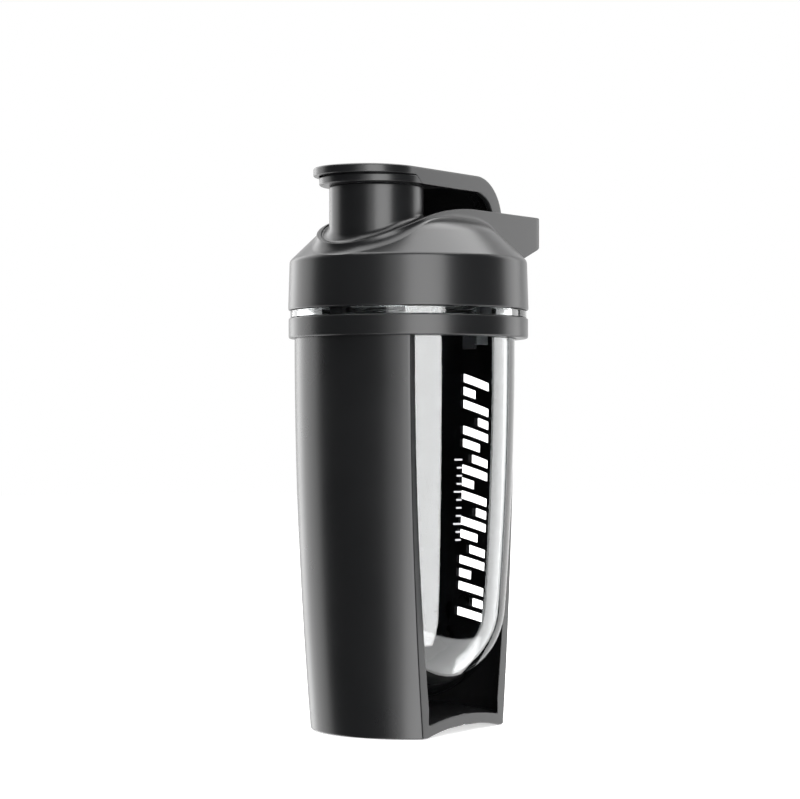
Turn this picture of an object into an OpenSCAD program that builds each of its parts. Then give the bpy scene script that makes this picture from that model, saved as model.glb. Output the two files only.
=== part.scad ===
// Shaker bottle: a clear cup hung in an opaque sleeve with a window, under a screw lid with a
// spout, a saddle wall that runs on into a carry loop, and a flip cap on a hinge pin.
// +Z is up and the origin is on the bottle's axis at the base. The spout points to -X, the
// carry loop and the hinge to +X, and the sleeve's window faces -Y.

/* [Sleeve] */
// Radius of the collar round the top of the sleeve
collar_r = 48.1; // [47.8:0.1:48.5]
// Height of the collar's lower edge
collar_z = 155.6; // [155:0.1:157]
// Height of the sleeve's top face, which carries the cup
sleeve_h = 163.7; // [163:0.1:165]
// Radius of the sleeve under the collar
sleeve_top_r = 45.7; // [45.5:0.1:46]
// How far the sleeve narrows from the collar to the base
sleeve_taper = 6.5; // [5:0.1:6.7]
// Wall thickness under the collar
sleeve_wall_top = 2.6; // [2.4:0.1:2.6]
// Wall thickness at the base
sleeve_wall_base = 4.2; // [3.8:0.1:4.2]
// Distance of the window's flat cut from the axis
window_offset = 26.9; // [22:0.1:30]
// Height of the hollow under the base
base_rise = 5.7; // [4:0.1:6.5]
// Thickness of the domed floor
floor_t = 3.5; // [2.5:0.1:3.8]

/* [Cup] */
// Radius of the cup under its flange
cup_top_r = 42.8; // [42.6:0.1:42.8]
// How far the cup narrows over the height of the sleeve
cup_taper = 8.4; // [8.3:0.05:9.2]
// Wall thickness of the cup
cup_wall = 2; // [1.5:0.1:2.4]
// Radius of the flange between the sleeve and the lid
flange_r = 47.5; // [46.5:0.1:48]
// Thickness of the flange between the sleeve and the lid
flange_t = 3.1; // [2.5:0.1:4]
// Outer radius of the threaded neck
neck_r = 42.6; // [42.4:0.1:42.8]
// Height of the neck above the flange
neck_h = 12.8; // [12.4:0.1:13]

/* [Thread] */
// Rise of the screw thread in one turn
thread_lead = 6; // [5.6:0.1:6.5]
// How far a thread ridge stands out
thread_depth = 1.4; // [1:0.1:1.6]
// Width of a ridge at its root
thread_root = 2.4; // [1.8:0.1:2.5]
// Width of a ridge at its crest
thread_crest = 1.1; // [0.8:0.1:1.4]

/* [Lid] */
// Radius of the lid's skirt at its lower edge
lid_r = 48.3; // [48:0.1:48.6]
// Slope of the shoulder
shoulder_angle = 44; // [42:1:45]
// Radius of the bend from the shoulder to the crown
shoulder_r = 20; // [18:0.5:21]
// Radius of the flat crown
crown_flat_r = 23.5; // [23:0.5:24.5]
// Height of the crown of the lid
crown_z = 202.2; // [201.8:0.1:202.4]
// Thickness of the lid's top
lid_t = 2.2; // [1.8:0.1:2.6]
// Outer radius of the spout
spout_r = 18.6; // [18.3:0.1:18.8]
// Inner radius of the spout
spout_bore_r = 16.6; // [16.4:0.1:16.8]
// Distance of the spout's axis from the bottle's axis
spout_x = 22; // [21:0.1:23]
// Height of the spout's rim
spout_z = 214.8; // [214:0.1:214.8]

/* [Saddle and carry loop] */
// Half width of the saddle wall, and radius of its round front
saddle_w = 23.6; // [23.5:0.1:24]
// Thickness of the saddle wall
saddle_t = 1.9; // [1.7:0.1:2]
// Height of the level part of the saddle's rim
rim_z = 207.5; // [206.5:0.1:208]
// Radius of the rim's fall towards the front, seen from the side
rim_fall_r = 122; // [115:1:130]
// Where the rim starts to fall
rim_fall_x = 15; // [12:0.5:18]
// Distance from the axis to the end of the carry loop
loop_end_x = 65.6; // [63:0.1:67]
// Radius of the loop's corners
loop_corner = 5.5; // [4:0.5:7]

/* [Flip cap] */
// Underside of the cap's head
cap_z = 215; // [215:0.1:215.2]
// Thickness of the head's lower tier
cap_low_t = 3.3; // [3:0.1:3.4]
// Thickness of the head's upper tier
cap_top_t = 3.3; // [3:0.1:3.4]
// Half width of the arm, and radius of the upper tier's round front
arm_w = 21.2; // [20.6:0.1:21.2]
// Radius of the lower tier
cap_low_r = 21.1; // [20.5:0.1:21.2]
// Radius of the arm's bend down to the hinge
bend_r = 18; // [17.5:0.5:18.5]
// Thickness of the arm's edge through the bend
bend_t = 7.2; // [6.8:0.1:7.4]
// Wall thickness of the arm
arm_t = 2.4; // [2:0.1:3]
// Distance of the hinge from the axis
hinge_x = 34.4; // [34.2:0.1:34.6]
// Height of the hinge
hinge_z = 203.8; // [203.6:0.1:204]
// Radius of the hinge barrel
barrel_r = 3.2; // [2.8:0.1:3.4]
// Radius of the hinge pin
pin_r = 1.5; // [1.2:0.1:1.8]

/* [Mixing grid] */
// Outer radius of the grid's ring
grid_r = 40.1; // [39.9:0.1:40.1]
// Height of the grid's plate
grid_z = 168; // [166:0.5:169]
// Width of a square hole in the grid
grid_hole = 5.2; // [4.5:0.1:5.6]
// Distance from one hole to the next
grid_pitch = 7; // [6.8:0.1:8]

// Length of the grid's four legs
grid_leg = 15.6; // [10:0.1:16]

/* [Hidden] */
$fn = 96;
run_gap = 0.05;                             // radial clearance of the barrel on its pin
sleeve_color = "#36373a";
clear_color = [0.86, 0.9, 0.92, 0.35];
silicone_color = "#5b5d60";
grid_color = "#77797c";

flange_z = sleeve_h + flange_t;             // top of the flange, where the lid's skirt ends
neck_top = flange_z + neck_h;
gasket_t = 2;
clip_h = 18.4;                              // the clip ring reaches up into the crown
lid_bore = neck_r + thread_depth + 0.8;     // the lid's inner wall, clear of the cup's ridges
barrel_half = arm_w - 0.1;
pin_half = saddle_w - saddle_t + 0.8;       // the pin ends in blind holes in the saddle wall
cap_top = cap_z + cap_low_t + cap_top_t;
low_tier_x = 24.4;                          // centre of the lower tier's round front
top_tier_x = 28;                            // centre of the upper tier's round front
arm_front_x = -4;                           // where the arm meets the head
bend_x = 19.1;                              // centre of the arm's bend
bend_z = cap_top - bend_r;
skirt_top_r = lid_r - 0.6;                  // the skirt leans in by this much
loop_low_x = 41;                            // the loop's sides leave the lid's edge here
loop_low_z = 186.3;
corner_r = 3;                               // bend from the skirt to the shoulder

// Points on an arc about [cx, cy] from angle a to angle b.
function arc(cx, cy, r, a, b, n = 8) =
    [for (i = [0:n]) let (t = a + (b - a) * i / n) [cx + r * cos(t), cy + r * sin(t)]];

// Outer radius of the sleeve and its inner radius, both narrowing along a gentle curve.
function sleeve_out(z) = sleeve_top_r - sleeve_taper * pow((collar_z - z) / collar_z, 2);
function sleeve_in(z) = sleeve_top_r - sleeve_wall_top
    - (sleeve_taper + sleeve_wall_base - sleeve_wall_top) * pow((collar_z - z) / collar_z, 2);

// Outer radius of the cup, and its slope, over the part above the round bottom.
function cup_out(z) = z > collar_z ? cup_top_r : cup_top_r - cup_taper * pow((collar_z - z) / collar_z, 2);
function cup_slope(z) = 2 * cup_taper * (collar_z - z) / pow(collar_z, 2);

round_z = 47.5;                             // the round bottom starts here, tangent to the wall
round_angle = atan(cup_slope(round_z));
round_r = cup_out(round_z) / cos(round_angle);
round_c = round_z + round_r * sin(round_angle);

// A ridge of one thread, carried along a helix: root radius, crest radius, first height, and
// the angles between which it runs. The ridge fades in and out over its first and last steps.
module ridge(root_r, crest_r, z0, from, to) {
    steps = round((to - from) / 9);
    inward = crest_r < root_r;
    function crest(i) = root_r + (crest_r - root_r) * min(1, 0.2 + i / 4, 0.2 + (steps - i) / 4);
    function ring(i) = let (
        a = from + (to - from) * i / steps,
        z = z0 + thread_lead * a / 360,
        c = crest(i),
        section = [[root_r, -thread_root / 2], [c, -thread_crest / 2],
                   [c, thread_crest / 2], [root_r, thread_root / 2]])
        [for (p = section) [p[0] * cos(a), p[0] * sin(a), z + p[1]]];
    points = [for (i = [0:steps]) each ring(i)];
    sides = [for (i = [0:steps - 1]) for (k = [0:3])
        let (a = 4 * i + k, b = 4 * i + (k + 1) % 4) each [[a, b, b + 4], [a, b + 4, a + 4]]];
    last = 4 * steps;
    ends = [[3, 2, 1], [3, 1, 0], [last, last + 1, last + 2], [last, last + 2, last + 3]];
    faces = concat(sides, ends);
    polyhedron(points, inward ? [for (f = faces) [f[2], f[1], f[0]]] : faces);
}

// A flat outline with a round front at -X of the given radius about x = -back, and sides
// that run straight to x = end, where the corners are rounded.
module tongue(r, back, end, corner) {
    polygon(concat(
        arc(-back, 0, r, 90, 270, 36),
        arc(end - corner, -r + corner, corner, -90, 0),
        arc(end - corner, r - corner, corner, 0, 90)));
}

module sleeve() {
    dome_r = (pow(36.5, 2) + pow(base_rise, 2)) / (2 * base_rise);
    steps = 24;
    color(sleeve_color) difference() {
        rotate_extrude() polygon(concat(
            [[0, base_rise]],
            [for (i = [1:8]) let (x = 36.5 * i / 8)
                [x, base_rise - dome_r + sqrt(pow(dome_r, 2) - pow(x, 2))]],
            arc(sleeve_out(0) - 0.8, 0.8, 0.8, -90, 0, 4),
            [for (i = [1:steps]) let (z = 0.8 + (collar_z - 0.8) * i / steps) [sleeve_out(z), z]],
            arc(collar_r - 1, collar_z + 1, 1, -90, 0, 5),
            arc(collar_r - 0.6, sleeve_h - 0.6, 0.6, 0, 90, 4),
            [for (i = [0:steps]) let (z = sleeve_h - (sleeve_h - 10) * i / steps)
                [z > collar_z ? sleeve_in(collar_z) : sleeve_in(z), z]],
            [for (i = [0:7]) let (x = 33.5 * (1 - i / 7))
                [x, base_rise + floor_t - 0.0034 * pow(x, 2)]]));
        translate([-60, -60 - window_offset, -1]) cube([120, 60, collar_z + 1]);
    }
}

module cup() {
    steps = 20;
    inner_r = round_r - cup_wall - 0.2;
    neck_in = neck_r - 2.2;
    color(clear_color) union() {
        rotate_extrude() polygon(concat(
            arc(0, round_c, round_r, -90, -round_angle, 16),
            [for (i = [1:steps]) let (z = round_z + (collar_z - round_z) * i / steps) [cup_out(z), z]],
            [[cup_top_r, sleeve_h]],
            arc(flange_r - 0.5, sleeve_h + 0.5, 0.5, -90, 0, 4),
            arc(flange_r - 0.5, flange_z - 0.5, 0.5, 0, 90, 4),
            [[neck_r, flange_z], [neck_r, neck_top - 0.6], [neck_r - 0.6, neck_top],
             [neck_in + 0.6, neck_top], [neck_in, neck_top - 0.6], [neck_in, flange_z - 3]],
            [for (i = [0:steps]) let (z = collar_z + 3 - (collar_z + 3 - round_z) * i / steps)
                [cup_out(z) - cup_wall, z]],
            arc(0, round_c, inner_r, -round_angle, -90, 16)));
        ridge(neck_r - 0.4, neck_r + thread_depth, flange_z + 4.2, 0, 405);
    }
}

module lid_gasket() {
    color(silicone_color) rotate_extrude() polygon([
        [neck_r - 2.4, neck_top], [lid_bore - 0.6, neck_top], [lid_bore - 0.6, neck_top + gasket_t],
        [neck_r - 2.4, neck_top + gasket_t]]);
}

// Height, at the radius r, of the shoulder's slope moved inwards by inset.
function slope_z(r, inset = 0) = let (
    foot = [crown_flat_r + shoulder_r * sin(shoulder_angle),
            crown_z - shoulder_r * (1 - cos(shoulder_angle))])
    foot[1] - ((r - foot[0]) * sin(shoulder_angle) + inset) / cos(shoulder_angle);

// Half of the lid's outer section, from the axis out and down to the foot of the skirt.
function crown_points() = concat(
    [[0, crown_z]],
    arc(crown_flat_r, crown_z - shoulder_r, shoulder_r, 90, 90 - shoulder_angle, 10),
    arc(skirt_top_r - corner_r, slope_z(skirt_top_r - corner_r, corner_r), corner_r,
        90 - shoulder_angle, 0, 6),
    [[lid_r, flange_z + 1.1]],
    arc(lid_r - 1, flange_z + 1, 1, 0, -90, 4));

// The room inside the lid, from the open foot up to the underside of the crown.
module lid_room() {
    ledge_z = neck_top + gasket_t;
    rotate_extrude() polygon(concat(
        [[0, flange_z - 1], [lid_bore, flange_z - 1], [lid_bore, ledge_z],
         [lid_bore - 1.6, ledge_z], [lid_bore - 1.6, slope_z(lid_bore - 1.6, lid_t)]],
        arc(crown_flat_r, crown_z - shoulder_r, shoulder_r - lid_t, 90 - shoulder_angle, 90, 8),
        [[0, crown_z - lid_t]]));
}

// The saddle wall and carry loop, seen from the side: level at the hinge, falling to the front
// along an arc, with the loop's underside rising outwards from the edge of the lid.
module saddle_side() {
    fall = asin((rim_fall_x + spout_x + saddle_w + 2) / rim_fall_r);
    polygon(concat(
        [[-spout_x - saddle_w - 2, loop_low_z - 1], [loop_low_x - 1, loop_low_z - 1],
         [loop_low_x, loop_low_z], [loop_end_x + 1, rim_z - 11.6], [loop_end_x + 1, rim_z]],
        arc(rim_fall_x, rim_z - rim_fall_r, rim_fall_r, 90, 90 + fall, 14)));
}

module saddle() {
    intersection() {
        linear_extrude(rim_z + 5) difference() {
            tongue(saddle_w, spout_x, loop_end_x, loop_corner);
            tongue(saddle_w - saddle_t, spout_x, loop_end_x - saddle_t, loop_corner - saddle_t);
        }
        translate([0, saddle_w + 2, 0]) rotate([90, 0, 0]) linear_extrude(2 * saddle_w + 4) saddle_side();
    }
}

module lid() {
    color(sleeve_color) difference() {
        union() {
            difference() {
                union() {
                    rotate_extrude() polygon(concat(crown_points(), [[0, flange_z]]));
                    saddle();
                    translate([-spout_x, 0, loop_low_z]) cylinder(h = spout_z - loop_low_z, r = spout_r);
                }
                lid_room();
            }
            // the ring that the mixing grid clips on
            translate([0, 0, neck_top - 4]) difference() {
                cylinder(h = clip_h, r = grid_r - 1.3);
                translate([0, 0, -1]) cylinder(h = clip_h + 2, r = grid_r - 2.9);
            }
            ridge(lid_bore + 0.4, lid_bore - thread_depth, flange_z + 4.2 - thread_lead / 2, 60, 360);
        }
        translate([-spout_x, 0, neck_top]) cylinder(h = spout_z, r = spout_bore_r);
        translate([hinge_x, pin_half, hinge_z]) rotate([90, 0, 0]) cylinder(h = 2 * pin_half, r = pin_r);
    }
}

module hinge_pin() {
    color("silver") translate([hinge_x, pin_half - 0.1, hinge_z]) rotate([90, 0, 0])
        cylinder(h = 2 * pin_half - 0.2, r = pin_r);
}

// The arm of the flip cap seen from the side: flat over the spout, then a bend down to the hinge.
function arm_outer() = concat(
    arc(bend_x, bend_z, bend_r, 90, 3, 14), [[hinge_x + barrel_r, hinge_z]]);
function arm_inner() = concat(
    [[hinge_x - barrel_r, hinge_z]], arc(bend_x, bend_z, bend_r - bend_t, 5, 90, 10));

module arm_side() {
    polygon(concat([[arm_front_x - 12, cap_z - 0.4], [arm_front_x - 12, cap_top]],
                   arm_outer(), arm_inner()));
}

module arm_hollow_side() {
    polygon(concat([[arm_front_x + 2, cap_z - 3], [arm_front_x + 2, cap_top - arm_t]],
                   arc(bend_x, bend_z, bend_r - arm_t, 90, 16, 10),
                   [[bend_x + bend_r - bend_t - 4, bend_z + 4], [bend_x, bend_z + 6]]));
}

module flip_cap() {
    color(sleeve_color) difference() {
        union() {
            translate([0, 0, cap_z + cap_low_t])
                linear_extrude(cap_top_t) tongue(arm_w, top_tier_x, arm_front_x, 0.5);
            translate([0, 0, cap_z]) linear_extrude(cap_low_t) tongue(cap_low_r, low_tier_x, arm_front_x, 0.5);
            difference() {
                translate([0, arm_w, 0]) rotate([90, 0, 0]) linear_extrude(2 * arm_w) arm_side();
                translate([0, arm_w - arm_t, 0]) rotate([90, 0, 0])
                    linear_extrude(2 * (arm_w - arm_t)) arm_hollow_side();
                // room for the spout under the front of the arm
                translate([-spout_x, 0, cap_z - 5]) cylinder(h = 5, r = spout_r + 1);
            }
            translate([hinge_x, barrel_half, hinge_z]) rotate([90, 0, 0])
                cylinder(h = 2 * barrel_half, r = barrel_r);
        }
        translate([hinge_x, barrel_half + 1, hinge_z]) rotate([90, 0, 0])
            cylinder(h = 2 * barrel_half + 2, r = pin_r + run_gap);
        // seat of the silicone plug
        translate([-spout_x, 0, cap_z - 1]) cylinder(h = 3.4, r = 18);
    }
}

module spout_plug() {
    color(silicone_color) translate([-spout_x, 0, 0]) rotate_extrude() polygon([
        [0, cap_z + 1], [11, cap_z + 1], [12, cap_z - 3.2], [spout_bore_r - 1.4, cap_z - 3.2],
        [spout_bore_r - 0.4, cap_z - 0.6], [spout_bore_r - 0.4, cap_z], [17.9, cap_z],
        [17.9, cap_z + 2.4], [0, cap_z + 2.4]]);
}

module mixing_grid() {
    ring_in = grid_r - 1;
    plate_t = 1.6;
    hole_rows = floor((ring_in - 2) / grid_pitch);
    color(grid_color) {
        difference() {
            translate([0, 0, grid_z]) cylinder(h = neck_top + 0.4 - grid_z - 2, r = grid_r);
            translate([0, 0, grid_z + plate_t]) cylinder(h = 20, r = ring_in);
            for (i = [-hole_rows:hole_rows], j = [-hole_rows:hole_rows])
                if (norm([i, j]) * grid_pitch < ring_in - 5)
                    translate([i * grid_pitch - grid_hole / 2, j * grid_pitch - grid_hole / 2, grid_z - 1])
                        cube([grid_hole, grid_hole, plate_t + 2]);
        }
        for (a = [82:90:352])
            rotate(a) translate([grid_r - 3.2, -3.2, grid_z - grid_leg]) cube([1.8, 6.4, grid_leg + 0.5]);
    }
}

sleeve();
cup();
lid_gasket();
lid();
hinge_pin();
flip_cap();
spout_plug();
mixing_grid();
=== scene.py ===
import math

import bmesh
import bpy
import numpy as np
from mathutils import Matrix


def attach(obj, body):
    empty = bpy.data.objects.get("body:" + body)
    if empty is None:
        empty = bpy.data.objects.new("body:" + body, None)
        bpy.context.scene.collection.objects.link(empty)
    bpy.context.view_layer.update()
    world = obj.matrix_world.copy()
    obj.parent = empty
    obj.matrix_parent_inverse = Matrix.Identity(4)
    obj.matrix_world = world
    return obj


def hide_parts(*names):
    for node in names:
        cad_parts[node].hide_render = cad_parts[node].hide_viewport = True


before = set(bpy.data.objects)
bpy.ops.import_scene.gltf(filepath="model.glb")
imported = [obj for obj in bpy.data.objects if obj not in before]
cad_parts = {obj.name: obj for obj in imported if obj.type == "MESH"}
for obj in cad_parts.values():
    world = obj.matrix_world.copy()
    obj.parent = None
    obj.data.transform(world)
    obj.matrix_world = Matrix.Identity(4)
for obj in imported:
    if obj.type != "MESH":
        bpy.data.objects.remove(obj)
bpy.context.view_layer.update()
mm = 0.001
print("frame loaded")

# the camera, in metres and degrees
view = {
    "azimuth": -55.0,        # 0 looks along +Y
    "distance": 0.930,       # from the bottle's axis
    "height": 0.122,
    "sensor": 36.0,          # millimetres, as the lens
    "lens": 104.1,
    "pitch": 0.57,           # looks up by this much
    "yaw": 0.206,
    "lightAim": 0.11,        # height that the softboxes face
}
camera = bpy.data.objects.new("camera", bpy.data.cameras.new("camera"))
camera.data.sensor_width = view["sensor"]
camera.data.lens = view["lens"]
turn = math.radians(view["azimuth"])
camera.location = (
    view["distance"] * math.sin(turn), -view["distance"] * math.cos(turn), view["height"])
camera.rotation_euler = (
    math.pi / 2 + math.radians(view["pitch"]), 0, turn + math.radians(view["yaw"]))
bpy.context.scene.collection.objects.link(camera)
bpy.context.scene.camera = camera
bpy.context.scene.view_settings.view_transform = "Standard"


# A softbox at an azimuth from the camera's own, aimed at the bottle. Its power is pi times
# its area times its brightness, so that its reflection has that brightness.
def softbox(name, azimuth, elevation, distance, width, tall, brightness):
    lamp = bpy.data.lights.new(name, "AREA")
    lamp.shape = "RECTANGLE"
    lamp.size = width
    lamp.size_y = tall
    lamp.energy = math.pi * width * tall * brightness
    box = bpy.data.objects.new(name, lamp)
    a = math.radians(view["azimuth"] + azimuth)
    e = math.radians(elevation)
    box.location = (
        distance * math.cos(e) * math.sin(a),
        -distance * math.cos(e) * math.cos(a),
        view["lightAim"] + distance * math.sin(e))
    box.rotation_euler = (math.pi / 2 - e, 0, a)
    box.visible_camera = False
    bpy.context.scene.collection.objects.link(box)


# degrees round from the camera, degrees up, distance, width, height, brightness
boxes = {
    "keyBox": (16, -6, 1.3, 0.92, 2.6, 8.5),
    "fillBox": (-12, 0, 1.4, 0.42, 2.0, 2.0),
    "rightRim": (118, -6, 1.2, 0.62, 2.6, 3.5),
    "leftRim": (-127, -6, 1.2, 1.15, 2.6, 2.6),
    "backBox": (180, 8, 1.6, 3.0, 2.8, 1.15),
    "topBox": (180, 86, 1.2, 1.7, 1.5, 6.5),
    "underBox": (60, -72, 1.0, 2.2, 1.3, 2.6),
}
for name, settings in boxes.items():
    softbox(name, *settings)
# clear plastic shows the backdrop, not the box behind it
bpy.data.objects["backBox"].visible_transmission = False
print("camera and lights placed")


# One shader socket. Sums and products with it add Math nodes.
class Wire:
    def __init__(self, tree, socket):
        self.tree = tree
        self.socket = socket

    def feed(self, value, into):
        if isinstance(value, Wire):
            self.tree.links.new(value.socket, into)
        else:
            into.default_value = value

    # any node: its type, its settings and the values or links of its sockets
    def add(self, kind, settings=None, values=None, out=0):
        node = self.tree.nodes.new(kind)
        for key, value in (settings or {}).items():
            setattr(node, key, value)
        for key, value in (values or {}).items():
            self.feed(value, node.inputs[key])
        return Wire(self.tree, node.outputs[out])

    def maths(self, operation, first, second):
        return self.add("ShaderNodeMath", {"operation": operation}, {0: first, 1: second})

    def __add__(self, other):
        return self.maths("ADD", self, other)

    __radd__ = __add__

    def __mul__(self, other):
        return self.maths("MULTIPLY", self, other)

    __rmul__ = __mul__

    def __sub__(self, other):
        return self.maths("SUBTRACT", self, other)

    def __rsub__(self, other):
        return self.maths("SUBTRACT", other, self)


backdrop = {"dim": (0.006, 0.006, 0.006, 1), "bright": (1, 1, 1, 1)}


# The backdrop is bright when seen straight or through clear plastic, and dim to any ray that
# a surface has reflected: the greater of (camera ray) and (clear ray - bounces).
def makeBackdrop():
    world = bpy.data.worlds.new("studio")
    world.use_nodes = True
    bpy.context.scene.world = world
    tree = world.node_tree
    tree.nodes.clear()
    paths = tree.nodes.new("ShaderNodeLightPath")
    straight, through, glossy, diffuse = (
        Wire(tree, paths.outputs[name]) for name in (
            "Is Camera Ray", "Is Transmission Ray", "Glossy Depth", "Diffuse Depth"))
    seen = straight.maths("MAXIMUM", straight, through - (glossy + diffuse))
    dim, bright = (
        straight.add("ShaderNodeBackground", None, {"Color": backdrop[name]})
        for name in ("dim", "bright"))
    either = straight.add("ShaderNodeMixShader", None, {0: seen, 1: dim, 2: bright})
    either.feed(either, tree.nodes.new("ShaderNodeOutputWorld").inputs["Surface"])


makeBackdrop()


# A material with one Principled shader; constants go straight onto its sockets. Returns the
# material, its shader and a wire that carries the object's own coordinates.
def startMaterial(name, constants):
    material = bpy.data.materials.new(name)
    material.use_nodes = True
    tree = material.node_tree
    shader = tree.nodes["Principled BSDF"]
    for key, value in constants.items():
        shader.inputs[key].default_value = value
    place = tree.nodes.new("ShaderNodeTexCoord")
    return material, shader, Wire(tree, place.outputs["Object"])


def noiseOf(place, scale, detail=3.0, rough=0.5, stretch=None):
    vector = place
    if stretch:
        vector = place.add("ShaderNodeMapping", None, {"Vector": place, "Scale": stretch})
    return place.add("ShaderNodeTexNoise", None, {
        "Vector": vector, "Scale": scale, "Detail": detail, "Roughness": rough})


# 0 below low, 1 above high, smooth between
def between(value, low, high):
    return value.add("ShaderNodeMapRange", {"interpolation_type": "SMOOTHSTEP"}, {
        "Value": value, "From Min": low, "From Max": high, "To Min": 0.0, "To Max": 1.0})


def blendColor(amount, first, second):
    return amount.add("ShaderNodeMix", {"data_type": "RGBA"}, {
        0: amount, 6: (*first, 1), 7: (*second, 1)}, out=2)


def bump(height, strength, distance):
    return height.add("ShaderNodeBump", None, {
        "Height": height, "Strength": strength, "Distance": distance})


def heightOf(place):
    return place.add("ShaderNodeSeparateXYZ", None, {0: place}, out=2)


# noise cells in a metre, and how far each kind of mark changes the roughness
moulding = {
    "grainCells": 2600.0,
    "cloudCells": 34.0,
    "rubCells": 160.0,
    "rubStretch": (1.0, 1.0, 16.0),
    "patchCells": 26.0,
    "scuffCells": 520.0,
    "cloudRough": 0.07,
    "rubRough": 0.05,
    "wornRough": 0.16,
    "relief": 0.00003,
}


# Satin moulded plastic: a fine spark-eroded grain, slow changes of gloss, hairline rubs that
# run round the bottle, and scuffs gathered at the base.
def mouldedPlastic(name, settings):
    m = moulding
    material, shader, place = startMaterial(name, {
        "Specular IOR Level": settings["shine"], "IOR": 1.5})
    grain = noiseOf(place, m["grainCells"], 2.0)
    cloud = noiseOf(place, m["cloudCells"], 3.0)
    rubs = between(noiseOf(place, m["rubCells"], 4.0, 0.6, m["rubStretch"]), 0.60, 0.72)
    patches = between(noiseOf(place, m["patchCells"], 2.0), 0.50, 0.66)
    scuff = between(noiseOf(place, m["scuffCells"], 3.0, 0.7), 0.56, 0.70)
    low = 1.0 - between(heightOf(place), 0.001, settings["scuffTop"])
    worn = scuff * low * patches
    faint = rubs * patches
    tone = cloud * 0.6 + worn * 0.5
    place.feed(blendColor(tone, settings["color"], settings["light"]), shader.inputs["Base Color"])
    rough = (settings["rough"] + (cloud - 0.5) * m["cloudRough"] + faint * m["rubRough"]
             + worn * m["wornRough"])
    place.feed(rough, shader.inputs["Roughness"])
    relief = grain + worn * 0.4 - faint * 0.2
    place.feed(bump(relief, settings["grain"], m["relief"]), shader.inputs["Normal"])
    return material


plastic = mouldedPlastic("satinPlastic", {
    "color": (0.0040, 0.0041, 0.0044),
    "light": (0.0070, 0.0072, 0.0076),
    "rough": 0.285,
    "shine": 0.33,
    "grain": 0.10,
    "scuffTop": 0.012,
})
gridPlastic = mouldedPlastic("greyPlastic", {
    "color": (0.055, 0.056, 0.059),
    "light": (0.075, 0.076, 0.079),
    "rough": 0.36,
    "shine": 0.4,
    "grain": 0.14,
    "scuffTop": 0.002,
})


# Clear moulded plastic: almost smooth, with a very slow waviness and faint wiping haze.
def clearPlastic(settings):
    material, shader, place = startMaterial("clearPlastic", {
        "Transmission Weight": 1.0, "IOR": settings["bend"]})
    wave = noiseOf(place, settings["waveCells"], 1.0, 0.4, (1.0, 1.0, 0.35))
    haze = between(noiseOf(place, settings["hazeCells"], 4.0, 0.6, (1.0, 1.0, 0.4)), 0.55, 0.75)
    color = blendColor(haze, settings["color"], settings["hazeColor"])
    place.feed(color, shader.inputs["Base Color"])
    place.feed(settings["rough"] + haze * settings["hazeRough"], shader.inputs["Roughness"])
    place.feed(bump(wave, settings["wave"], 0.0004), shader.inputs["Normal"])
    return material


clear = clearPlastic({
    "bend": 1.54,
    "color": (0.86, 0.885, 0.89),
    "hazeColor": (0.84, 0.865, 0.87),
    "wave": 0.03,
    "waveCells": 22.0,
    "hazeCells": 90.0,
    "rough": 0.008,
    "hazeRough": 0.008,
})


# Silicone: matt, with dust that lightens it in patches.
def siliconeOf(settings):
    material, shader, place = startMaterial("silicone", {"Specular IOR Level": 0.35})
    dust = between(noiseOf(place, settings["dustCells"], 4.0, 0.7), 0.45, 0.75)
    grain = noiseOf(place, settings["grainCells"], 2.0)
    place.feed(blendColor(dust, settings["color"], settings["dust"]), shader.inputs["Base Color"])
    place.feed(settings["rough"] + dust * settings["dustRough"], shader.inputs["Roughness"])
    place.feed(bump(grain, 0.15, 0.00004), shader.inputs["Normal"])
    return material


silicone = siliconeOf({
    "color": (0.06, 0.061, 0.064),
    "dust": (0.085, 0.086, 0.09),
    "rough": 0.5,
    "dustRough": 0.12,
    "dustCells": 180.0,
    "grainCells": 1800.0,
})


# Ground steel for the hinge pin, with grinding lines round it.
def steelOf(settings):
    material, shader, place = startMaterial("pinSteel", {"Metallic": 1.0, "Anisotropic": 0.4})
    lines = noiseOf(place, settings["lineCells"], 3.0, 0.6, settings["lineStretch"])
    color = blendColor(lines, settings["color"], settings["dark"])
    place.feed(color, shader.inputs["Base Color"])
    place.feed(settings["rough"] + lines * settings["lineRough"], shader.inputs["Roughness"])
    place.feed(bump(lines, 0.2, 0.00002), shader.inputs["Normal"])
    return material


steel = steelOf({
    "color": (0.62, 0.62, 0.61),
    "dark": (0.42, 0.42, 0.42),
    "rough": 0.2,
    "lineRough": 0.2,
    "lineCells": 400.0,
    "lineStretch": (1.0, 14.0, 1.0),
})


inkMarks = {"poreCells": 1500.0, "cloudCells": 120.0, "rough": 0.32, "cloudRough": 0.12}


# Screen-printed ink: opaque, with pinholes and slow changes of gloss.
def inkOf(name, settings):
    material, shader, place = startMaterial(name, {"Specular IOR Level": 0.5})
    m = inkMarks
    pores = between(noiseOf(place, m["poreCells"], 3.0, 0.6), 0.60, 0.72)
    cloud = noiseOf(place, m["cloudCells"], 2.0)
    tone = pores * 0.5 + cloud * 0.3
    place.feed(blendColor(tone, settings["color"], settings["thin"]), shader.inputs["Base Color"])
    place.feed(m["rough"] + cloud * m["cloudRough"], shader.inputs["Roughness"])
    place.feed(bump(cloud, 0.1, 0.00003), shader.inputs["Normal"])
    return material


ink = inkOf("whiteInk", {"color": (0.92, 0.92, 0.92), "thin": (0.74, 0.75, 0.76)})
greyInk = inkOf("greyInk", {"color": (0.30, 0.30, 0.31), "thin": (0.22, 0.22, 0.23)})
print("materials made")


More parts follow.
